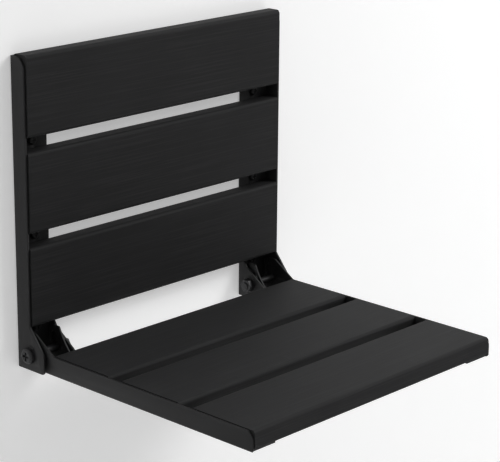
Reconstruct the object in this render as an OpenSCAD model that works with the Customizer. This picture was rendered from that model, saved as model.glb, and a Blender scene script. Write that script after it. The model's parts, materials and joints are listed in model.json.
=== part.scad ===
// Wall-mounted fold-up shower seat with a slatted back rest.
// Two bent steel wall brackets carry three back slats.
// Two bent steel arms carry three seat slats and swing up on hidden pins near the wall.
// One bolt on each side runs through a curved slot in the arm and stops the swing.
// +X runs along the wall, -Y points away from the wall and +Z is up.
// The origin is on the wall plane, midway between the brackets, at the middle row of wall screws.
// Side outlines are drawn as [distance from the wall, height above the foot of the brackets].

/* [Overall] */
// width over the outer faces of the two wall brackets
overall_w = 450; // [375:1:560]

/* [Slats] */
// width of each slat
slat_w = 102; // [85:0.5:125]
// thickness of each slat
slat_t = 24; // [20:0.5:29]
// open gap between neighbouring slats
slat_gap = 18; // [15:0.5:24]
// rounding of the long edges of a slat
slat_edge_r = 5; // [3:0.5:7]
// clearance between the slats and the metal beside them
slat_end_gap = 0.5; // [0.3:0.1:2]

/* [Wall brackets] */
// thickness of the bracket plate
bracket_plate = 3; // [2.5:0.5:3.5]
// width of the flange that lies against the wall
flange_w = 53; // [50:1:62]
// how far the slats stand proud of the bracket edges
cheek_inset = 2.5; // [1:0.5:4]
// distance the foot of the bracket reaches in front of the pivot
foot_ahead = 22; // [19:0.5:26]
// height of the upright front edge of the foot
foot_h = 25; // [21:0.5:28]
// rounding of the top front corner of the cheek
cheek_top_r = 15; // [8:1:20]
// rounding of the corner between the foot and the slope above it
foot_top_r = 8; // [4:1:12]
// rounding of the lower front corner of the foot and of the tab
foot_toe_r = 4; // [2:0.5:6]
// angle of the sloping front edge of the tab
tab_slope = 34.7; // [31:0.1:38]
// width of metal between the pin and the sloping edge of the tab
tab_wall = 1.8; // [1.5:0.1:3.5]
// distance of the shoulder of the tab behind the pivot
tab_shoulder_back = 12; // [10:0.5:14]
// lean of the neck of the tab above its shoulder, away from upright
tab_neck_lean = 30; // [20:1:35]
// rounding of the shoulder of the tab
tab_shoulder_r = 8; // [4:0.5:12]
// outside radius of the bends in the plates
bend_r = 3; // [2:0.5:4]

/* [Seat arms] */
// thickness of the arm plate
arm_plate = 2.5; // [2:0.5:3]
// clearance between an arm and the bracket beside it
side_gap = 2.8; // [2:0.1:4]
// how far the slats stand proud of the arm edges
arm_inset = 1; // [0.5:0.5:3]
// rounding of the top front corner of an arm
arm_front_r = 11; // [6:1:16]
// rounding of the bottom corners of an arm
arm_toe_r = 3; // [2:0.5:5]
// angle of the sloping front edge of the outer ear
ear_slope = 33.3; // [30:0.1:38]
// rounding of the upper rear corner of the ears
ear_rear_r = 8; // [7:0.5:9]
// rounding of the lower rear corner of the ears
ear_heel_r = 6; // [4:0.5:8]
// rounding at the two ends of the sloping edge
ear_slope_r = 5; // [3:0.5:6]
// clear height between the ears and the lowest back slat
ear_headroom = 8.5; // [7.5:0.5:12]
// clearance between the sloping edge and the lowest back slat while the seat swings
ear_clear = 1.85; // [1:0.05:2.5]
// metal above the far end of the curved slot
ear_cap = 7.7; // [6:0.1:9]
// metal behind the far end of the curved slot
slot_wall = 5; // [4:0.1:6]
// rounding of the upper front corner of the inner ear
ear_tip_r = 2; // [2:0.5:4]
// metal between the bush and the hollow front edge of the inner ear
ear_wall = 4; // [2:0.1:5]

/* [Folding] */
// space left between the folded seat and the back slats
fold_gap = 3.5; // [2.5:0.5:5]
// how far the folded seat slats stand above the back slats
fold_rise = 3.5; // [2.5:0.5:4.5]
// extra distance of the rear seat slat from the wall compared with the height of the back slats
seat_lead = 2.5; // [1.5:0.5:3.5]
// distance of the stop bolt behind the pivot
bolt_back = 5.5; // [5.2:0.1:6]
// distance of the stop bolt below the pivot
bolt_drop = 9.7; // [9.5:0.1:10.2]

/* [Pivot and stop bolt] */
// diameter of the pivot pins
pin_d = 6; // [5:0.5:6.5]
// wall thickness of the pivot bushes
bush_wall = 0.95; // [0.8:0.05:1.2]
// radial play between a pin and its bush
pin_play = 0.05; // [0.03:0.01:0.1]
// how far the collar of a bush stands out round its barrel
collar_step = 1.5; // [1:0.1:1.6]
// play between the collar of a bush and the bracket
collar_play = 0.2; // [0.1:0.05:0.4]
// diameter of the stop bolt
bolt_d = 10; // [8:0.5:10.5]
// play between the stop bolt and the curved slot
slot_play = 0.3; // [0.2:0.05:0.4]
// diameter of the bolt head
bolt_head_d = 20; // [17:0.5:22]
// height of the bolt head
bolt_head_h = 6; // [5:0.5:7.5]
// width of the nut across its flats
nut_af = 16; // [15:0.5:17]
// height of the nut
nut_h = 8.4; // [7:0.1:9]
// length of bolt standing out of the nut
bolt_end = 1.6; // [1:0.1:4]

/* [Wall and slat screws] */
// distance from the outer face of the bracket to the wall screws
wall_screw_inset = 29; // [25:0.5:32]
// diameter of the wall screws
wall_screw_d = 6; // [5:0.5:8]
// how much thicker the neck of a wall screw is than its shank, filling the hole in the bracket
wall_neck_step = 0.5; // [0.4:0.1:1]
// head diameter of the wall screws
wall_head_d = 12; // [10:0.5:13]
// head height of the wall screws
wall_head_h = 4; // [3:0.5:5]
// length of wall screw behind the bracket
wall_screw_reach = 45; // [30:1:60]
// diameter of the slat screws
slat_screw_d = 4; // [3.5:0.5:5]
// head diameter of the slat screws
slat_head_d = 8; // [7:0.5:9]
// head height of the seat slat screws
slat_head_h = 2.4; // [2:0.1:3]
// depth the slat screws reach into a slat
slat_screw_bite = 16; // [12:0.5:17]
// depth of the pilot hole beyond the tip of a slat screw
pilot_extra = 1; // [0.5:0.5:2]
// distance of the slat screws from the middle line of a slat
slat_screw_spread = 25; // [15:0.5:32]

/* [Hidden] */
// one slat and one gap
pitch = slat_w + slat_gap;
// three slats and the two gaps between them
field = 3 * slat_w + 2 * slat_gap;

// heights and distances of the slat surfaces
seat_top = arm_plate + slat_t;
back_front = bracket_plate + slat_t;

// pivot, chosen so that the raised seat lies flat in front of the back slats
pivot_sum = seat_top + back_front + fold_gap;
pivot_lift = fold_rise - seat_lead;
pivot = [(pivot_sum - pivot_lift) / 2, (pivot_sum + pivot_lift) / 2];
bolt = pivot - [bolt_back, bolt_drop];

// curved slot, a quarter turn about the pivot from the bolt to its far end
slot_far = pivot + [-bolt_drop, bolt_back];
slot_r = bolt_d / 2 + slot_play;
slot_reach = norm([bolt_back, bolt_drop]);
slot_turn = atan2(bolt_back, -bolt_drop);

// ears of the arms
arm_rear = slot_far[0] - slot_r - slot_wall;
ear_top = slot_far[1] + slot_r + ear_cap;
back_start = ear_top + ear_headroom;
seat_start = back_start + seat_lead;
arm_h = seat_top - arm_inset;
arm_reach = seat_start + field - arm_inset;
slat_corner = [back_front - slat_edge_r, back_start + slat_edge_r];
slope_normal = [-cos(ear_slope), sin(ear_slope)];
slope_offset = (slat_corner - pivot) * slope_normal - slat_edge_r - ear_clear;
slope_top_u = pivot[0] + (slope_offset - cos(ear_slope) * (ear_top - pivot[1])) / sin(ear_slope);
slope_end_u = pivot[0] + (slope_offset - cos(ear_slope) * (arm_h - pivot[1])) / sin(ear_slope);
bush_bore_r = pin_d / 2 + pin_play;
bush_r = bush_bore_r + bush_wall;
ear_hollow = [3 * (ear_top - pivot[1]) + 30.5, 2 * (ear_top - pivot[1]) + 17.4];
ear_hollow_r = norm(ear_hollow) - bush_r - ear_wall;
ear_front = seat_start - arm_inset;
ear_tip_u = pivot[0] + ear_hollow[0] - sqrt(ear_hollow_r ^ 2 - (pivot[1] + ear_hollow[1] - ear_top) ^ 2);
ear_tip_low_u = pivot[0] + ear_hollow[0] - sqrt(ear_hollow_r ^ 2 - ear_hollow[1] ^ 2);

// wall brackets
cheek_depth = back_front - cheek_inset;
bracket_h = back_start + field - cheek_inset;
foot_depth = pivot[0] + foot_ahead;
tab_h = back_start - slat_end_gap;
tab_edge = pin_d / 2 + tab_wall;
tab_shoulder = pivot + [-tab_shoulder_back, (tab_edge + tab_shoulder_back * sin(tab_slope)) / cos(tab_slope)];
tab_nose_h = pivot[1] + (tab_edge - foot_ahead * sin(tab_slope)) / cos(tab_slope);
tab_top_u = tab_shoulder[0] - (tab_h - tab_shoulder[1]) * tan(tab_neck_lean);

// distances from the middle plane, on the +X side
bracket_x = overall_w / 2;
cheek_x = bracket_x - bracket_plate;
arm_x = cheek_x - side_gap;
ear_x = arm_x - arm_plate;
tab_x = bracket_x - flange_w;
tab_inner_x = tab_x + bracket_plate;
arm_inner_x = tab_inner_x + side_gap;
ear_inner_x = arm_inner_x + arm_plate;
wall_screw_x = bracket_x - wall_screw_inset;
seat_screw_x = (arm_x + arm_inner_x) / 2;
back_slat_x = cheek_x - slat_end_gap;
seat_slat_x = ear_x - slat_end_gap;

// height of the middle row of wall screws, the zero of the frame
row_z = back_start + pitch - slat_gap / 2;

// small amount by which cutting shapes pass through a face
cut = 1;
// rounds are this much over size, so that they cross the edges beside them cleanly
round_over = 1.002;
// how far past its edges the piece cut from a corner reaches, as a share of the round
sliver_margin = 1.2;
// length, width and depth of the cross recesses as shares of the head
recess_span = 0.55;
recess_width = 0.14;
recess_depth = 0.45;
// shares of the shaft radius left at the tips
screw_tip = 0.15;
bolt_tip = 0.85;

$fn = 64;

function unit(v) = v / norm(v);

// the piece between a sharp corner p and a round of radius r, a and b being the next corners
// it reaches a little past the two edges, so one piece serves to cut and another to fill
module corner_sliver(p, a, b, r)
{
    ua = unit(a - p);
    ub = unit(b - p);
    half = acos(ua * ub) / 2;
    reach = r / tan(half);
    centre = p + unit(ua + ub) * r / sin(half);
    difference() {
        polygon([centre, centre + (p + ua * reach - centre) * sliver_margin,
            centre + (p - centre) * sliver_margin, centre + (p + ub * reach - centre) * sliver_margin]);
        translate(centre) circle(r = r * round_over);
    }
}

// polygon with rounded corners, a negative radius filling an inside corner
module rounded_outline(points, radii)
{
    n = len(points);
    difference() {
        union() {
            polygon(points);
            for (i = [0 : n - 1])
                if (radii[i] < 0)
                    corner_sliver(points[i], points[(i + n - 1) % n], points[(i + 1) % n], -radii[i]);
        }
        for (i = [0 : n - 1])
            if (radii[i] > 0)
                corner_sliver(points[i], points[(i + n - 1) % n], points[(i + 1) % n], radii[i]);
    }
}

// a side outline given thickness t along X, starting at x0
module side_plate(x0, t)
{
    translate([x0 + t, 0, 0]) rotate([90, 0, -90]) linear_extrude(t) children();
}

// children set along X with their own +Z pointing to +X, at a side position p
module along_x(x0, p)
{
    translate([x0, -p[0], p[1]]) rotate([0, 90, 0]) children();
}

// whole object moved so that the middle row of wall screws is at zero height
module placed()
{
    translate([0, 0, -row_z]) children();
}

module on_left()
{
    mirror([1, 0, 0]) children();
}

// cross recess of a screw head, opening upward at height z
module cross_recess(head_d, head_h, z)
{
    span = head_d * recess_span;
    width = head_d * recess_width;
    depth = head_h * recess_depth;
    translate([-span / 2, -width / 2, z - depth]) cube([span, width, depth + cut]);
    translate([-width / 2, -span / 2, z - depth]) cube([width, span, depth + cut]);
}

// domed head standing on z = 0 with a cross recess
module pan_head(head_d, head_h)
{
    round_r = head_h * 0.6;
    difference() {
        rotate_extrude()
            rounded_outline([[0, 0], [head_d / 2, 0], [head_d / 2, head_h], [0, head_h]],
                [0, 0, round_r, 0]);
        cross_recess(head_d, head_h, head_h);
    }
}

// shaft hanging below z = 0, with a tapered tip
module shaft(d, length, tip_len, tip_share)
{
    translate([0, 0, tip_len - length]) cylinder(h = length - tip_len, d = d);
    translate([0, 0, -length]) cylinder(h = tip_len, d1 = d * tip_share, d2 = d);
}

// curved slot drawn as a side outline
module stop_slot()
{
    translate(pivot) {
        intersection() {
            difference() {
                circle(r = slot_reach + slot_r);
                circle(r = slot_reach - slot_r);
            }
            rotate(slot_turn) square(2 * slot_reach);
        }
    }
    translate(bolt) circle(r = slot_r * round_over);
    translate(slot_far) circle(r = slot_r * round_over);
}

// side outline of the outer plate of an arm, with its ear at the wall end
module arm_outline()
{
    difference() {
        rounded_outline([[arm_rear, 0], [arm_reach, 0], [arm_reach, arm_h], [slope_end_u, arm_h],
            [slope_top_u, ear_top], [arm_rear, ear_top]],
            [ear_heel_r, arm_toe_r, arm_front_r, -ear_slope_r, ear_slope_r, ear_rear_r]);
        stop_slot();
        translate(pivot) circle(r = bush_r);
    }
}

// side outline of the inner ear of an arm
module inner_ear_outline()
{
    difference() {
        rounded_outline([[arm_rear, 0], [ear_front, 0], [ear_front, ear_top], [arm_rear, ear_top]],
            [ear_heel_r, 0, 0, ear_rear_r]);
        translate(pivot + ear_hollow) circle(r = ear_hollow_r);
        corner_sliver([ear_tip_u, ear_top], [arm_rear, ear_top], [ear_tip_low_u, pivot[1]], ear_tip_r);
        stop_slot();
        translate(pivot) circle(r = bush_r);
    }
}

// side outline of the outer cheek of a wall bracket
module cheek_outline()
{
    difference() {
        rounded_outline([[0, 0], [foot_depth, 0], [foot_depth, foot_h], [cheek_depth, back_start],
            [cheek_depth, bracket_h], [0, bracket_h]],
            [0, foot_toe_r, foot_top_r, 0, cheek_top_r, 0]);
        translate(pivot) circle(d = pin_d);
        translate(bolt) circle(d = bolt_d);
    }
}

// side outline of the inner tab of a wall bracket
module tab_outline()
{
    difference() {
        rounded_outline([[0, 0], [foot_depth, 0], [foot_depth, tab_nose_h], tab_shoulder,
            [tab_top_u, tab_h], [0, tab_h]],
            [0, foot_toe_r, foot_top_r, -tab_shoulder_r, 0, 0]);
        translate(pivot) circle(d = pin_d);
        translate(bolt) circle(d = bolt_d);
    }
}

// height of slat number i of three on the back, counted from below
function back_slat_z(i) = back_start + i * pitch;

// distance from the wall of slat number i of three in the seat, counted from the rear
function seat_slat_u(i) = seat_start + i * pitch;

// countersunk hole or screw head, wide at the wall plane and narrow inside the flange
module countersink()
{
    rotate([90, 0, 0])
        cylinder(h = (slat_head_d - slat_screw_d) / 2, d1 = slat_head_d, d2 = slat_screw_d);
}

module wall_bracket()
{
    difference() {
        union() {
            translate([tab_x, -bracket_plate, 0]) cube([flange_w, bracket_plate, bracket_h]);
            side_plate(cheek_x, bracket_plate) cheek_outline();
            side_plate(tab_x, bracket_plate) tab_outline();
        }
        // outside of the two vertical bends
        translate([0, 0, -cut]) linear_extrude(bracket_h + 2 * cut)
            corner_sliver([bracket_x, 0], [cheek_x, 0], [bracket_x, -foot_depth], bend_r);
        translate([0, 0, -cut]) linear_extrude(tab_h + cut)
            corner_sliver([tab_x, 0], [tab_inner_x, 0], [tab_x, -foot_depth], bend_r);
        // wall screw holes
        for (i = [0 : 2])
            translate([wall_screw_x, cut, back_slat_z(i) - slat_gap / 2])
                rotate([90, 0, 0]) cylinder(h = bracket_plate + 2 * cut, d = wall_screw_d + wall_neck_step);
        // countersunk holes of the back slat screws
        back_slat_screw_places() {
            translate([0, cut, 0])
                rotate([90, 0, 0]) cylinder(h = bracket_plate + 2 * cut, d = slat_screw_d);
            countersink();
        }
    }
}

module back_slat_screw_places()
{
    for (i = [0 : 2])
        for (side = [-1, 1])
            translate([wall_screw_x, 0, back_slat_z(i) + slat_w / 2 + side * slat_screw_spread])
                children();
}

module seat_slat_screw_places()
{
    for (i = [0 : 2])
        for (side = [-1, 1])
            translate([seat_screw_x, -(seat_slat_u(i) + slat_w / 2 + side * slat_screw_spread), 0])
                children();
}

// one slat as a rounded bar, u0 and z0 being its rear lower edge
module slat_bar(half_len, u0, z0, u_size, z_size)
{
    r = slat_edge_r;
    side_plate(-half_len, 2 * half_len)
        rounded_outline([[u0, z0], [u0 + u_size, z0], [u0 + u_size, z0 + z_size], [u0, z0 + z_size]],
            [r, r, r, r]);
}

module back_slat(i)
{
    difference() {
        slat_bar(back_slat_x, bracket_plate, back_slat_z(i), slat_t, slat_w);
        for (x_side = [-1, 1])
            for (side = [-1, 1])
                translate([x_side * wall_screw_x, cut - bracket_plate,
                    back_slat_z(i) + slat_w / 2 + side * slat_screw_spread])
                    rotate([90, 0, 0]) cylinder(h = slat_screw_bite + pilot_extra + cut, d = slat_screw_d);
    }
}

module seat_slat(i)
{
    difference() {
        slat_bar(seat_slat_x, seat_slat_u(i), arm_plate, slat_w, slat_t);
        for (x_side = [-1, 1])
            for (side = [-1, 1])
                translate([x_side * seat_screw_x,
                    -(seat_slat_u(i) + slat_w / 2 + side * slat_screw_spread), arm_plate - cut])
                    cylinder(h = slat_screw_bite + pilot_extra + cut, d = slat_screw_d);
    }
}

module back_slat_screws()
{
    back_slat_screw_places() {
        difference() {
            union() {
                countersink();
                rotate([-90, 0, 0])
                    shaft(slat_screw_d, bracket_plate + slat_screw_bite, slat_screw_d, screw_tip);
            }
            rotate([-90, 0, 0]) cross_recess(slat_head_d, slat_head_h, 0);
        }
    }
}

module seat_slat_screws()
{
    seat_slat_screw_places()
        rotate([180, 0, 0]) {
            pan_head(slat_head_d, slat_head_h);
            shaft(slat_screw_d, arm_plate + slat_screw_bite, slat_screw_d, screw_tip);
        }
}

module wall_screws()
{
    for (i = [0 : 2])
        translate([wall_screw_x, -bracket_plate, back_slat_z(i) - slat_gap / 2])
            rotate([90, 0, 0]) {
                pan_head(wall_head_d, wall_head_h);
                translate([0, 0, -bracket_plate])
                    cylinder(h = bracket_plate, d = wall_screw_d + wall_neck_step);
                translate([0, 0, -bracket_plate])
                    shaft(wall_screw_d, wall_screw_reach, wall_screw_d, screw_tip);
            }
}

module stop_bolt()
{
    along_x(bracket_x, bolt) {
        pan_head(bolt_head_d, bolt_head_h);
        shaft(bolt_d, flange_w + nut_h + bolt_end, 1, bolt_tip);
    }
}

module stop_nut()
{
    difference() {
        along_x(tab_x - nut_h, bolt)
            rotate(30) cylinder(h = nut_h, r = nut_af / 2 / cos(30), $fn = 6);
        along_x(tab_x - nut_h - cut, bolt) cylinder(h = nut_h + 2 * cut, d = bolt_d);
    }
}

module pivot_pins()
{
    along_x(ear_x, pivot) cylinder(h = bracket_x - ear_x, d = pin_d);
    along_x(tab_x, pivot) cylinder(h = ear_inner_x - tab_x, d = pin_d);
}

// bush with its barrel in the ear and its collar on the +Z side of the barrel
module pivot_bush()
{
    difference() {
        union() {
            cylinder(h = arm_plate, r = bush_r);
            translate([0, 0, arm_plate]) cylinder(h = side_gap - collar_play, r = bush_r + collar_step);
        }
        translate([0, 0, -cut]) cylinder(h = arm_plate + side_gap + 2 * cut, r = bush_bore_r);
    }
}

module pivot_bushes()
{
    along_x(ear_x, pivot) pivot_bush();
    along_x(ear_inner_x, pivot) mirror([0, 0, 1]) pivot_bush();
}

module seat_arm()
{
    difference() {
        union() {
            side_plate(ear_x, arm_plate) arm_outline();
            side_plate(arm_inner_x, arm_plate) inner_ear_outline();
            translate([arm_inner_x, -(arm_reach - arm_toe_r), 0])
                cube([arm_x - arm_inner_x, arm_reach - arm_toe_r - arm_rear - ear_heel_r, arm_plate]);
        }
        // outside of the two bends along the bottom
        translate([0, cut, 0]) rotate([90, 0, 0]) linear_extrude(arm_reach + 2 * cut)
            corner_sliver([arm_x, 0], [ear_x, 0], [arm_x, arm_h], bend_r);
        translate([0, cut, 0]) rotate([90, 0, 0]) linear_extrude(ear_front + cut)
            corner_sliver([arm_inner_x, 0], [ear_inner_x, 0], [arm_inner_x, arm_h], bend_r);
        seat_slat_screw_places()
            translate([0, 0, -cut]) cylinder(h = arm_plate + 2 * cut, d = slat_screw_d);
    }
}

module left_wall_bracket()
{
    color([0.17, 0.17, 0.18]) placed() on_left() wall_bracket();
}

module right_wall_bracket()
{
    color([0.17, 0.17, 0.18]) placed() wall_bracket();
}

module back_slat_top()
{
    color([0.13, 0.13, 0.14]) placed() back_slat(2);
}

module back_slat_middle()
{
    color([0.13, 0.13, 0.14]) placed() back_slat(1);
}

module back_slat_bottom()
{
    color([0.13, 0.13, 0.14]) placed() back_slat(0);
}

module back_slat_screws_left()
{
    color([0.3, 0.3, 0.31]) placed() on_left() back_slat_screws();
}

module back_slat_screws_right()
{
    color([0.3, 0.3, 0.31]) placed() back_slat_screws();
}

module wall_screws_left()
{
    color([0.25, 0.25, 0.26]) placed() on_left() wall_screws();
}

module wall_screws_right()
{
    color([0.25, 0.25, 0.26]) placed() wall_screws();
}

module left_stop_bolt()
{
    color([0.2, 0.2, 0.21]) placed() on_left() stop_bolt();
}

module right_stop_bolt()
{
    color([0.2, 0.2, 0.21]) placed() stop_bolt();
}

module left_stop_nut()
{
    color([0.2, 0.2, 0.21]) placed() on_left() stop_nut();
}

module right_stop_nut()
{
    color([0.2, 0.2, 0.21]) placed() stop_nut();
}

module left_pivot_pins()
{
    color([0.17, 0.17, 0.18]) placed() on_left() pivot_pins();
}

module right_pivot_pins()
{
    color([0.17, 0.17, 0.18]) placed() pivot_pins();
}

module left_seat_arm()
{
    color([0.17, 0.17, 0.18]) placed() on_left() seat_arm();
}

module right_seat_arm()
{
    color([0.17, 0.17, 0.18]) placed() seat_arm();
}

module seat_slat_rear()
{
    color([0.13, 0.13, 0.14]) placed() seat_slat(0);
}

module seat_slat_middle()
{
    color([0.13, 0.13, 0.14]) placed() seat_slat(1);
}

module seat_slat_front()
{
    color([0.13, 0.13, 0.14]) placed() seat_slat(2);
}

module seat_slat_screws_left()
{
    color([0.3, 0.3, 0.31]) placed() on_left() seat_slat_screws();
}

module seat_slat_screws_right()
{
    color([0.3, 0.3, 0.31]) placed() seat_slat_screws();
}

module left_pivot_bushes()
{
    color([0.1, 0.1, 0.1]) placed() on_left() pivot_bushes();
}

module right_pivot_bushes()
{
    color([0.1, 0.1, 0.1]) placed() pivot_bushes();
}

left_wall_bracket();
right_wall_bracket();
back_slat_top();
back_slat_middle();
back_slat_bottom();
back_slat_screws_left();
back_slat_screws_right();
wall_screws_left();
wall_screws_right();
left_stop_bolt();
right_stop_bolt();
left_stop_nut();
right_stop_nut();
left_pivot_pins();
right_pivot_pins();
left_seat_arm();
right_seat_arm();
seat_slat_rear();
seat_slat_middle();
seat_slat_front();
seat_slat_screws_left();
seat_slat_screws_right();
left_pivot_bushes();
right_pivot_bushes();
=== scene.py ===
"""Looks for a wall-mounted fold-up shower seat: eased plates and fixings, black finishes, a pale stage."""

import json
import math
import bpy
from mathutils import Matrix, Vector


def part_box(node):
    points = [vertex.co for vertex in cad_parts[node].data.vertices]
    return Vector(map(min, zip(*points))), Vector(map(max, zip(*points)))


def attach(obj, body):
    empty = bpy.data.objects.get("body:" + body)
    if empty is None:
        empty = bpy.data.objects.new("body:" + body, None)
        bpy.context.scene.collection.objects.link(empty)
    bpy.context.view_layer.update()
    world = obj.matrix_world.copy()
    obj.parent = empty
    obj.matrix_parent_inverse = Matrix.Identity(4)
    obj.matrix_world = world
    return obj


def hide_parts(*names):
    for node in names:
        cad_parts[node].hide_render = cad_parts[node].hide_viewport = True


bl_info = {
    "name": "Fold-up shower seat looks",
    "version": (1, 0, 0),
    "blender": (4, 5, 0),
    "location": "3D View > Sidebar > Shower Seat",
    "description": "Eases the rims of a fold-up shower seat, gives every part its finish and sets the stage",
    "category": "Object",
}

import bpy
from bpy.props import FloatProperty, FloatVectorProperty, IntProperty, PointerProperty
from mathutils import Matrix, Vector

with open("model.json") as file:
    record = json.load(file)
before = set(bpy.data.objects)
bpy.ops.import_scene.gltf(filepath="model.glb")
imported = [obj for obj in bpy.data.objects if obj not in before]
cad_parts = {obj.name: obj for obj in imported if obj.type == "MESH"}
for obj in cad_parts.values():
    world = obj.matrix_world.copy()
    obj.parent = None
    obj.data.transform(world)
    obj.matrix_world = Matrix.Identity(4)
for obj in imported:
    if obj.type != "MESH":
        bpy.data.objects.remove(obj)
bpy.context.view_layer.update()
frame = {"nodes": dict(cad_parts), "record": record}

PLATES = ["left_wall_bracket", "right_wall_bracket", "left_seat_arm", "right_seat_arm"]
BACK_SLATS = ["back_slat_top", "back_slat_middle", "back_slat_bottom"]
SEAT_SLATS = ["seat_slat_rear", "seat_slat_middle", "seat_slat_front"]
STOP_PARTS = ["left_stop_bolt", "right_stop_bolt", "left_stop_nut", "right_stop_nut"]
SCREWS = ["wall_screws_left", "wall_screws_right", "back_slat_screws_left", "back_slat_screws_right",
          "seat_slat_screws_left", "seat_slat_screws_right"]
PIVOTS = ["left_pivot_pins", "right_pivot_pins"]
BUSHES = ["left_pivot_bushes", "right_pivot_bushes"]

MERGE_DISTANCE = 0.000002
FLAT_ANGLE = math.radians(0.5)
RIM_ANGLE = math.radians(40)
SMOOTH_ANGLE = math.radians(35)

# Strength of the painted edge highlight on the slats: the seat gets more than the back, as if lit more from
# above.
BACK_EDGE_HIGHLIGHT = 0.35
SEAT_EDGE_HIGHLIGHT = 0.45
BOLT_ROUGHNESS = 0.42
SCREW_ROUGHNESS = 0.5
BUSH_ROUGHNESS = 0.45

WALL_GLOW = 0.36
WORLD_STRENGTH = 0.3
SHEET_WIDTH = 8.0
WALL_HEIGHT = 5.0
FLOOR_DEPTH = 6.0
WALL_SETBACK = 0.0005
FLOOR_UNDER_WALL = 0.01
LIGHT_TARGET = (0, -0.2, 0)
KEY_PLACE = (1.9, -1.7, 1.7)
KEY_SIZE = (1.6, 1.2)
FILL_PLACE = (-2.2, -1.6, 0.9)
FILL_SIZE = (1.4, 1.4)

CAMERA_PLACE = (-1.66659, -1.76318, 0.69058)
CAMERA_AZIMUTH = -46.567
CAMERA_ELEVATION = 16.722
CAMERA_ROLL = -0.5
CAMERA_LENS = 138.49
SENSOR_WIDTH = 36.0


class Term:
    """A shader value that can stand in a sum or product."""

    def __init__(self, finish, socket):
        self.finish = finish
        self.socket = socket

    def _sum(self, operation, a, b):
        return self.finish.node("ShaderNodeMath", {"operation": operation}, {0: a, 1: b})

    def __add__(self, other):
        return self._sum("ADD", self, other)

    def __radd__(self, other):
        return self._sum("ADD", other, self)

    def __sub__(self, other):
        return self._sum("SUBTRACT", self, other)

    def __rsub__(self, other):
        return self._sum("SUBTRACT", other, self)

    def __mul__(self, other):
        return self._sum("MULTIPLY", self, other)


class Finish:
    """A material under construction, with its Principled shader."""

    def __init__(self, name, specular=0.5):
        self.material = bpy.data.materials.new(name)
        self.material.use_nodes = True
        self.tree = self.material.node_tree
        self.shader = self.tree.nodes["Principled BSDF"]
        self.shader.inputs["Specular IOR Level"].default_value = specular

    def node(self, kind, settings=None, inputs=None, output=0):
        """Adds a node, sets it up, fills its sockets and returns one of its outputs."""
        made = self.tree.nodes.new(kind)
        for key, value in (settings or {}).items():
            setattr(made, key, value)
        for key, value in (inputs or {}).items():
            self.fill(made.inputs[key], value)
        return Term(self, made.outputs[output])

    def fill(self, socket, value):
        """Links a shader value to a socket, or sets a plain one on it."""
        if isinstance(value, Term):
            self.tree.links.new(value.socket, socket)
        else:
            socket.default_value = value

    def feed(self, name, value):
        """Feeds one socket of the shader."""
        self.fill(self.shader.inputs[name], value)

    def place(self, stretch=(1.0, 1.0, 1.0)):
        """Object coordinates, stretched for grain that runs one way."""
        coords = self.node("ShaderNodeTexCoord", output="Object")
        return self.node("ShaderNodeMapping", inputs={"Vector": coords, "Scale": stretch})

    def noise(self, place, scale, detail=4.0, roughness=0.55):
        """Cloudy variation from 0 to 1."""
        return self.node("ShaderNodeTexNoise", inputs={"Vector": place, "Scale": scale, "Detail": detail,
                                                       "Roughness": roughness})

    def ramp(self, value, low, high):
        """Spreads the part of a value between low and high over 0 to 1."""
        return self.node("ShaderNodeMapRange", {"interpolation_type": "SMOOTHSTEP"},
                         {"Value": value, "From Min": low, "From Max": high})

    def mix(self, factor, first, second):
        """Blends two colours."""
        return self.node("ShaderNodeMix", {"data_type": "RGBA"}, {0: factor, 6: first, 7: second}, output=2)

    def edge(self, radius):
        """1 along the sharp edges, 0 on flat faces."""
        rounded = self.node("ShaderNodeBevel", {"samples": 6}, {"Radius": radius})
        flat = self.node("ShaderNodeNewGeometry", output="Normal")
        along = self.node("ShaderNodeVectorMath", {"operation": "DOT_PRODUCT"}, {0: rounded, 1: flat},
                          output=1)
        return self.ramp(1 - along, 0.01, 0.16)

    def bump(self, height, strength, distance):
        """Raises the surface by a height in metres times a strength."""
        self.feed("Normal", self.node("ShaderNodeBump", inputs={"Height": height, "Strength": strength,
                                                                "Distance": distance}))


def tone(colour, share):
    """A colour made lighter or darker, as a four-part shader colour."""
    return tuple(min(1.0, c * share) for c in colour[:3]) + (1.0,)


def powder_coat(name, colour, roughness, grain):
    """Matt powder coat: fine orange peel, faint cloudiness and slightly polished edges, lightened in patches as
    edge wear and painted edge highlight.
    """
    finish = Finish(name, specular=0.38)
    place = finish.place()
    peel = finish.noise(place, 1.0 / grain, detail=3.0)
    cloud = finish.noise(place, 14.0, detail=5.0)
    specks = finish.ramp(finish.noise(place, 0.45 / grain, detail=1.0), 0.66, 0.8)
    edge = finish.edge(0.0009)
    # Patchy edge mask: partly edge wear, partly painted highlight where the rims catch the light.
    edge_wear_and_highlight = edge * finish.ramp(finish.noise(place, 55.0), 0.3, 0.75)
    base = finish.mix(finish.ramp(cloud, 0.3, 0.7), tone(colour, 0.86), tone(colour, 1.12))
    base = finish.mix(specks * 0.35, base, tone(colour, 2.0))
    # Edges lightened towards a pale tone: edge wear and painted edge highlight together.
    finish.feed("Base Color", finish.mix(edge_wear_and_highlight * 0.5, base, tone(colour, 2.6)))
    finish.feed("Roughness", roughness + cloud * 0.08 + peel * 0.06 - edge_wear_and_highlight * 0.14 - 0.07)
    finish.bump(peel, 0.35, 0.00012)
    return finish.material


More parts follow.
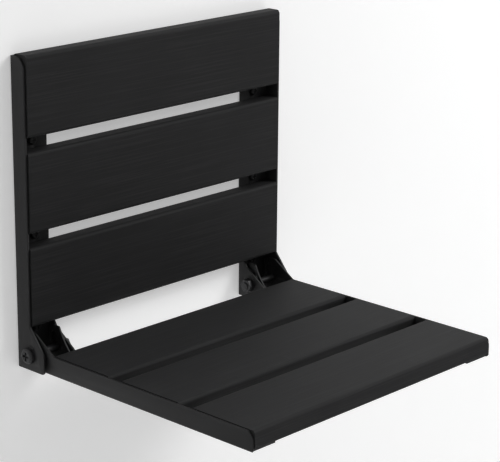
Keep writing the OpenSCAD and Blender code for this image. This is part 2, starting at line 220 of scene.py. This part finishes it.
def slat_plastic(name, colour, roughness, grain, edge_highlight_share):
    """Solid matt plastic planks with fine lines that run along them and a painted highlight along their edges.
    """
    finish = Finish(name, specular=0.26)
    lines = finish.noise(finish.place((0.012, 1.0, 1.0)), 1.0 / grain, detail=5.0, roughness=0.6)
    place = finish.place()
    streaks = finish.noise(finish.place((0.04, 1.0, 1.0)), 120.0, detail=3.0)
    cloud = finish.noise(place, 9.0, detail=4.0)
    pores = finish.noise(place, 2200.0, detail=2.0)
    blotches = finish.noise(finish.place((1.0, 0.35, 1.0)), 70.0, detail=6.0, roughness=0.7)
    scuffs = finish.ramp(blotches, 0.62, 0.75)
    edge = finish.edge(0.0012)
    base = finish.mix(finish.ramp(cloud, 0.3, 0.7), tone(colour, 0.88), tone(colour, 1.12))
    base = finish.mix(finish.ramp(streaks, 0.35, 0.7) * 0.4, base, tone(colour, 1.35))
    base = finish.mix(finish.ramp(lines, 0.45, 0.65) * 0.6, base, tone(colour, 2.1))
    # Painted highlight: the edges are lightened by a share of the edge mask.
    finish.feed("Base Color", finish.mix(edge * edge_highlight_share, base, tone(colour, 1.7)))
    finish.feed("Roughness", roughness + streaks * 0.08 + lines * 0.08 - scuffs * 0.05 - 0.08)
    finish.bump(lines * 0.8 + pores * 0.2, 0.7, 0.00018)
    return finish.material


def black_steel(name, colour, roughness):
    """Blackened steel of screws, bolts and nuts, brighter in patches along the rims as tool wear and painted
    edge highlight.
    """
    finish = Finish(name, specular=0.5)
    finish.shader.inputs["Metallic"].default_value = 0.35
    place = finish.place()
    patina = finish.noise(place, 320.0, detail=4.0)
    fine = finish.noise(place, 2600.0, detail=2.0)
    edge = finish.edge(0.0006)
    # Patchy edge mask: partly tool wear, partly painted highlight where the rims catch the light.
    tool_wear_and_glint = edge * finish.ramp(finish.noise(place, 240.0), 0.35, 0.65)
    base = finish.mix(finish.ramp(patina, 0.3, 0.7), tone(colour, 0.8), tone(colour, 1.25))
    # Rims lightened strongly: tool wear and painted edge highlight together.
    finish.feed("Base Color", finish.mix(tool_wear_and_glint * 0.7, base, tone(colour, 3.2)))
    finish.feed("Roughness", roughness + patina * 0.14 + fine * 0.05 - tool_wear_and_glint * 0.1 - 0.08)
    finish.bump(fine, 0.3, 0.00006)
    return finish.material


def nylon(name, colour, roughness):
    """Moulded nylon of the pivot bushes."""
    finish = Finish(name, specular=0.4)
    place = finish.place()
    cloud = finish.noise(place, 180.0, detail=3.0)
    grain = finish.noise(place, 3000.0, detail=2.0)
    finish.feed("Base Color", finish.mix(cloud, tone(colour, 0.8), tone(colour, 1.3)))
    finish.feed("Roughness", roughness + cloud * 0.1 + grain * 0.05)
    finish.bump(grain, 0.3, 0.00005)
    return finish.material


def stage_paint(name, colour, glow):
    """Pale matt paint that can't be seen from behind."""
    finish = Finish(name, specular=0.1)
    finish.shader.inputs["Roughness"].default_value = 0.95
    finish.feed("Base Color", tone(colour, 1.0))
    finish.feed("Emission Color", tone(colour, 1.0))
    finish.shader.inputs["Emission Strength"].default_value = glow
    behind = finish.node("ShaderNodeNewGeometry", output="Backfacing")
    clear = finish.node("ShaderNodeBsdfTransparent")
    surface = finish.node("ShaderNodeMixShader", inputs={0: behind, 2: clear})
    mixer = surface.socket.node
    finish.tree.links.new(finish.shader.outputs[0], mixer.inputs[1])
    finish.tree.links.new(surface.socket, finish.tree.nodes["Material Output"].inputs["Surface"])
    return finish.material


def only_select(item):
    """Makes one object the whole selection."""
    bpy.ops.object.select_all(action="DESELECT")
    item.select_set(True)
    bpy.context.view_layer.objects.active = item


def eased_copy(node, name, ease, segments):
    """A copy of a CAD node with its sharp rims eased, standing for the node on the same body."""
    original = frame["nodes"][node]
    if original.type != "MESH":
        raise RuntimeError("no mesh for " + node)
    piece = original.copy()
    piece.data = original.data.copy()
    piece.name = name
    piece.parent = None
    piece.matrix_world = Matrix.Identity(4)
    bpy.context.collection.objects.link(piece)
    only_select(piece)
    bpy.ops.object.mode_set(mode="EDIT")
    bpy.ops.mesh.select_all(action="SELECT")
    bpy.ops.mesh.remove_doubles(threshold=MERGE_DISTANCE)
    bpy.ops.mesh.dissolve_limited(angle_limit=FLAT_ANGLE)
    bpy.ops.object.mode_set(mode="OBJECT")
    bevel = piece.modifiers.new("Ease", "BEVEL")
    bevel.width = ease
    bevel.segments = segments
    bevel.limit_method = "ANGLE"
    bevel.angle_limit = RIM_ANGLE
    bevel.use_clamp_overlap = False
    bevel.miter_outer = "MITER_ARC"
    bpy.ops.object.modifier_apply(modifier="Ease")
    bpy.ops.object.shade_smooth_by_angle(angle=SMOOTH_ANGLE)
    bodies = frame["record"]["behaviour"]["bodies"]
    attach(piece, next(body for body, nodes in bodies.items() if node in nodes))
    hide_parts(node)
    return piece


def dress(item, material):
    """Gives an object one material all over."""
    if not item.material_slots:
        item.data.materials.append(material)
    for place in item.material_slots:
        place.material = material


class SeatFinishes(bpy.types.PropertyGroup):
    """Sizes and colours of the seat's finishes."""

    frame_colour: FloatVectorProperty(name="Frame colour", description="Powder coat of brackets and arms",
                                      subtype="COLOR", size=3, min=0, max=1, default=(0.0125, 0.0125, 0.0132))
    slat_colour: FloatVectorProperty(name="Slat colour", description="Plastic of the slats", subtype="COLOR",
                                     size=3, min=0, max=1, default=(0.012, 0.012, 0.0125))
    fixing_colour: FloatVectorProperty(name="Fixing colour", description="Stop bolts and nuts",
                                       subtype="COLOR", size=3, min=0, max=1, default=(0.03, 0.03, 0.0318))
    screw_colour: FloatVectorProperty(name="Screw colour", description="Wall and slat screws",
                                      subtype="COLOR", size=3, min=0, max=1, default=(0.011, 0.011, 0.0116))
    bush_colour: FloatVectorProperty(name="Bush colour", description="Nylon of the pivot bushes",
                                     subtype="COLOR", size=3, min=0, max=1, default=(0.012, 0.012, 0.012))
    frame_roughness: FloatProperty(name="Frame roughness", description="Mattness of the powder coat",
                                   default=0.55, min=0.2, max=0.9, subtype="FACTOR")
    slat_roughness: FloatProperty(name="Slat roughness", description="Mattness of the slats", default=0.72,
                                  min=0.2, max=0.9, subtype="FACTOR")
    coat_grain: FloatProperty(name="Coat grain", description="Size of the powder coat's orange peel",
                              default=0.0009, min=0.0003, max=0.004, unit="LENGTH")
    slat_grain: FloatProperty(name="Slat grain", description="Spacing of the fine lines along a slat",
                              default=0.0018, min=0.0003, max=0.004, unit="LENGTH")
    plate_ease: FloatProperty(name="Plate ease", description="Rounding of the cut edges of the plates",
                              default=0.0005, min=0.0001, max=0.001, unit="LENGTH")
    fixing_ease: FloatProperty(name="Fixing ease", description="Rounding of the rims of bolts, nuts and screws",
                               default=0.00025, min=0.00005, max=0.0006, unit="LENGTH")
    ease_segments: IntProperty(name="Ease segments", description="Facets across each eased rim", default=2,
                               min=1, max=4)


class SeatStage(bpy.types.PropertyGroup):
    """Sizes and colours of the stage."""

    wall_colour: FloatVectorProperty(name="Wall colour", description="Paint behind the seat", subtype="COLOR",
                                     size=3, min=0, max=1, default=(0.88, 0.88, 0.88))
    floor_colour: FloatVectorProperty(name="Floor colour", description="Paint of the floor", subtype="COLOR",
                                      size=3, min=0, max=1, default=(0.8, 0.8, 0.8))
    seat_height: FloatProperty(name="Seat height", description="Height of the seat over the floor",
                               default=0.48, min=0.3, max=0.7, unit="LENGTH")
    key_power: FloatProperty(name="Key power", description="Strength of the main light in watts",
                             default=42.0, min=0, max=500)
    fill_power: FloatProperty(name="Fill power", description="Strength of the left light in watts",
                              default=0.5, min=0, max=500)


class SHOWERSEAT_OT_plates(bpy.types.Operator):
    """Ease the cut edges of the brackets and arms and coat them"""

    bl_idname = "showerseat.plates"
    bl_label = "Brackets and arms"

    def execute(self, context):
        sizes = context.scene.seat_finishes
        coat = powder_coat("matt_black_powder_coat", sizes.frame_colour, sizes.frame_roughness,
                           sizes.coat_grain)
        for node in PLATES:
            dress(eased_copy(node, node + "_plate", sizes.plate_ease, sizes.ease_segments), coat)
        for node in PIVOTS:
            dress(frame["nodes"][node], coat)
        return {"FINISHED"}


class SHOWERSEAT_OT_slats(bpy.types.Operator):
    """Give the back and seat slats their lined matt plastic"""

    bl_idname = "showerseat.slats"
    bl_label = "Slats"

    def execute(self, context):
        sizes = context.scene.seat_finishes
        plastic = (sizes.slat_colour, sizes.slat_roughness, sizes.slat_grain)
        # Lit and shaded copies of one plastic: the seat copy carries a stronger painted edge highlight than the
        # back copy.
        back = slat_plastic("back_slat_plastic", *plastic, BACK_EDGE_HIGHLIGHT)
        seat = slat_plastic("seat_slat_plastic", *plastic, SEAT_EDGE_HIGHLIGHT)
        for node in BACK_SLATS:
            dress(frame["nodes"][node], back)
        for node in SEAT_SLATS:
            dress(frame["nodes"][node], seat)
        return {"FINISHED"}


class SHOWERSEAT_OT_fixings(bpy.types.Operator):
    """Ease the rims of bolts, nuts and screws and blacken them"""

    bl_idname = "showerseat.fixings"
    bl_label = "Bolts, nuts and screws"

    def execute(self, context):
        sizes = context.scene.seat_finishes
        steel = black_steel("blackened_steel", sizes.fixing_colour, BOLT_ROUGHNESS)
        dark_steel = black_steel("dark_blackened_steel", sizes.screw_colour, SCREW_ROUGHNESS)
        for node in STOP_PARTS + SCREWS:
            finish = steel if node in STOP_PARTS else dark_steel
            dress(eased_copy(node, node + "_eased", sizes.fixing_ease, sizes.ease_segments), finish)
        return {"FINISHED"}


class SHOWERSEAT_OT_bushes(bpy.types.Operator):
    """Give the pivot bushes their nylon"""

    bl_idname = "showerseat.bushes"
    bl_label = "Pivot bushes"

    def execute(self, context):
        plain = nylon("black_nylon", context.scene.seat_finishes.bush_colour, BUSH_ROUGHNESS)
        for node in BUSHES:
            dress(frame["nodes"][node], plain)
        return {"FINISHED"}


def add_sheet(name, width, height, centre, turn, material):
    """A flat stage sheet with its place in its mesh."""
    bpy.ops.object.select_all(action="DESELECT")
    bpy.ops.mesh.primitive_plane_add(size=1.0, location=centre, rotation=turn)
    sheet = bpy.context.active_object
    sheet.name = name
    sheet.scale = (width, height, 1.0)
    bpy.ops.object.transform_apply(location=True, rotation=True, scale=True)
    dress(sheet, material)
    return sheet


def add_light(name, place, target, width, height, power):
    """A soft rectangular light aimed at a point."""
    lamp = bpy.data.lights.new(name, "AREA")
    lamp.shape = "RECTANGLE"
    lamp.size = width
    lamp.size_y = height
    lamp.energy = power
    item = bpy.data.objects.new(name, lamp)
    bpy.context.collection.objects.link(item)
    item.location = place
    item.rotation_euler = (Vector(target) - Vector(place)).to_track_quat("-Z", "Y").to_euler()


def add_camera(place, azimuth, elevation, roll, lens):
    """A camera at a place, turned by angles in degrees."""
    a, e, r = (math.radians(v) for v in (azimuth, elevation, roll))
    ahead = Vector((-math.sin(a) * math.cos(e), math.cos(a) * math.cos(e), -math.sin(e)))
    level = Vector((math.cos(a), math.sin(a), 0.0))
    down = ahead.cross(level)
    right = math.cos(r) * level + math.sin(r) * down
    lower = math.cos(r) * down - math.sin(r) * level
    data = bpy.data.cameras.new("camera")
    data.sensor_width = SENSOR_WIDTH
    data.lens = lens
    item = bpy.data.objects.new("camera", data)
    bpy.context.collection.objects.link(item)
    turn = Matrix((right, -lower, -ahead)).transposed().to_4x4()
    item.matrix_world = Matrix.Translation(Vector(place)) @ turn
    bpy.context.scene.camera = item


class SHOWERSEAT_OT_stage(bpy.types.Operator):
    """Set up the pale wall and floor, the soft lights and the camera"""

    bl_idname = "showerseat.stage"
    bl_label = "Stage"

    def execute(self, context):
        sizes = context.scene.seat_stage
        seat_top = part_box("seat_slat_front")[1][2]
        floor_z = seat_top - sizes.seat_height
        wall_middle = (0, WALL_SETBACK, floor_z + WALL_HEIGHT / 2)
        floor_middle = (0, FLOOR_UNDER_WALL - FLOOR_DEPTH / 2, floor_z)
        add_sheet("stage_wall", SHEET_WIDTH, WALL_HEIGHT, wall_middle, (math.radians(90), 0, 0),
                  stage_paint("wall_paint", sizes.wall_colour, WALL_GLOW))
        add_sheet("stage_floor", SHEET_WIDTH, FLOOR_DEPTH, floor_middle, (0, 0, 0),
                  stage_paint("floor_paint", sizes.floor_colour, 0.0))
        add_light("key_light", KEY_PLACE, LIGHT_TARGET, *KEY_SIZE, sizes.key_power)
        add_light("fill_light", FILL_PLACE, LIGHT_TARGET, *FILL_SIZE, sizes.fill_power)
        world = bpy.data.worlds.new("pale_room")
        world.use_nodes = True
        world.node_tree.nodes["Background"].inputs["Color"].default_value = (1.0, 1.0, 1.0, 1.0)
        world.node_tree.nodes["Background"].inputs["Strength"].default_value = WORLD_STRENGTH
        context.scene.world = world
        context.scene.view_settings.view_transform = "Standard"
        add_camera(CAMERA_PLACE, CAMERA_AZIMUTH, CAMERA_ELEVATION, CAMERA_ROLL, CAMERA_LENS)
        return {"FINISHED"}


class SHOWERSEAT_PT_panel(bpy.types.Panel):
    """Sidebar panel that lists the steps"""

    bl_idname = "SHOWERSEAT_PT_panel"
    bl_label = "Shower Seat"
    bl_space_type = "VIEW_3D"
    bl_region_type = "UI"
    bl_category = "Shower Seat"

    def draw(self, context):
        for group in (context.scene.seat_finishes, context.scene.seat_stage):
            for name in group.bl_rna.properties.keys():
                if name not in ("rna_type", "name"):
                    self.layout.prop(group, name)
        for step in STEPS:
            self.layout.operator(step.bl_idname)


STEPS = (SHOWERSEAT_OT_plates, SHOWERSEAT_OT_slats, SHOWERSEAT_OT_fixings, SHOWERSEAT_OT_bushes,
         SHOWERSEAT_OT_stage)
CLASSES = (SeatFinishes, SeatStage) + STEPS + (SHOWERSEAT_PT_panel,)


def register():
    """Registers the add-on's classes and settings."""
    for item in CLASSES:
        bpy.utils.register_class(item)
    bpy.types.Scene.seat_finishes = PointerProperty(type=SeatFinishes)
    bpy.types.Scene.seat_stage = PointerProperty(type=SeatStage)


def unregister():
    """Removes the add-on's classes and settings."""
    del bpy.types.Scene.seat_stage
    del bpy.types.Scene.seat_finishes
    for item in reversed(CLASSES):
        bpy.utils.unregister_class(item)


def main():
    """Runs every step."""
    register()
    bpy.ops.showerseat.plates()
    bpy.ops.showerseat.slats()
    bpy.ops.showerseat.fixings()
    bpy.ops.showerseat.bushes()
    bpy.ops.showerseat.stage()


if __name__ == "__main__":
    main()
